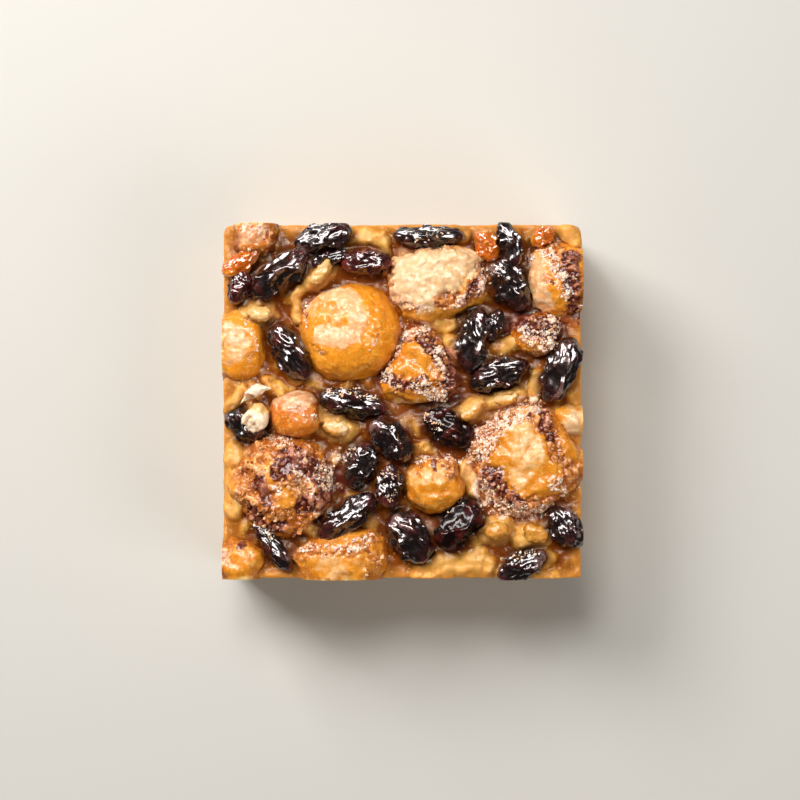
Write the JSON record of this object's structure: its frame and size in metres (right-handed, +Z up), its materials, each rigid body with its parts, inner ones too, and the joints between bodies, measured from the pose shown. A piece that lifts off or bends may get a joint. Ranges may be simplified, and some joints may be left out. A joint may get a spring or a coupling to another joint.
{
  "type": "bread pudding",
  "caption": "Square slice of baked bread pudding: toasted, sugared bread chunks, dark raisins and amber sultanas set in glossy custard, flat underneath.",
  "frame": {"origin": "middle of the flat underside", "axes": "+Z up out of the baked top; -Y is the front side, at the bottom of the picture; +X to the right"},
  "size_m": [0.0916, 0.0904, 0.0405],
  "materials": {
    "custard": "set egg custard, moist, glossy and slightly translucent",
    "bread": "custard-soaked bread, baked golden, its crust toasted brown in places",
    "cream_bread": "torn soft bread, creamy and moist with custard",
    "raisin": "plumped dark raisin, wrinkled, with a sticky gloss",
    "sultana": "plumped amber sultana, wrinkled and translucent",
    "sugar": "coarse sugar grains and syrup beads"
  },
  "bodies": {
    "root": {"bit_cream_curl": "cream_bread", "bit_cream_drop": "cream_bread", "bit_cream_petal": "cream_bread", "bit_cream_strip": "cream_bread", "bit_front_right": "cream_bread", "bit_front_right_round": "cream_bread", "bit_left_of_middle": "cream_bread", "bit_right_of_middle": "cream_bread", "bit_under_raisin": "cream_bread", "bread_amber_cube": "bread", "bread_back_left": "bread", "bread_crusty_left": "bread", "bread_front": "bread", "bread_front_left": "bread", "bread_golden_round": "bread", "bread_left_back": "bread", "bread_pale_flat": "bread", "bread_peach_cube": "bread", "bread_right_back": "bread", "bread_right_pale": "bread", "bread_sugared_crust": "bread", "bread_sugared_right": "bread", "bread_toasted_wedge": "bread", "custard_block": "custard", "raisin_back_edge": "raisin", "raisin_back_left_long": "raisin", "raisin_back_left_red": "raisin", "raisin_back_left_tucked": "raisin", "raisin_back_left_upper": "raisin", "raisin_back_red": "raisin", "raisin_back_right": "raisin", "raisin_back_right_draped": "raisin", "raisin_back_side_high": "raisin", "raisin_back_side_low": "raisin", "raisin_front_edge": "raisin", "raisin_front_left_slant": "raisin", "raisin_front_left_thin": "raisin", "raisin_front_middle": "raisin", "raisin_front_right_edge": "raisin", "raisin_front_round": "raisin", "raisin_front_side_high": "raisin", "raisin_front_side_low": "raisin", "raisin_left": "raisin", "raisin_left_side_high": "raisin", "raisin_left_side_low": "raisin", "raisin_left_tucked": "raisin", "raisin_middle": "raisin", "raisin_middle_low": "raisin", "raisin_middle_right": "raisin", "raisin_middle_striped": "raisin", "raisin_middle_sugared": "raisin", "raisin_right_edge": "raisin", "raisin_right_level": "raisin", "raisin_right_side_high": "raisin", "raisin_right_side_low": "raisin", "raisin_right_small": "raisin", "raisin_right_upright": "raisin", "sultana_back_left": "sultana", "sultana_back_right": "sultana", "sultana_back_right_small": "sultana"}
  },
  "joints": []
}
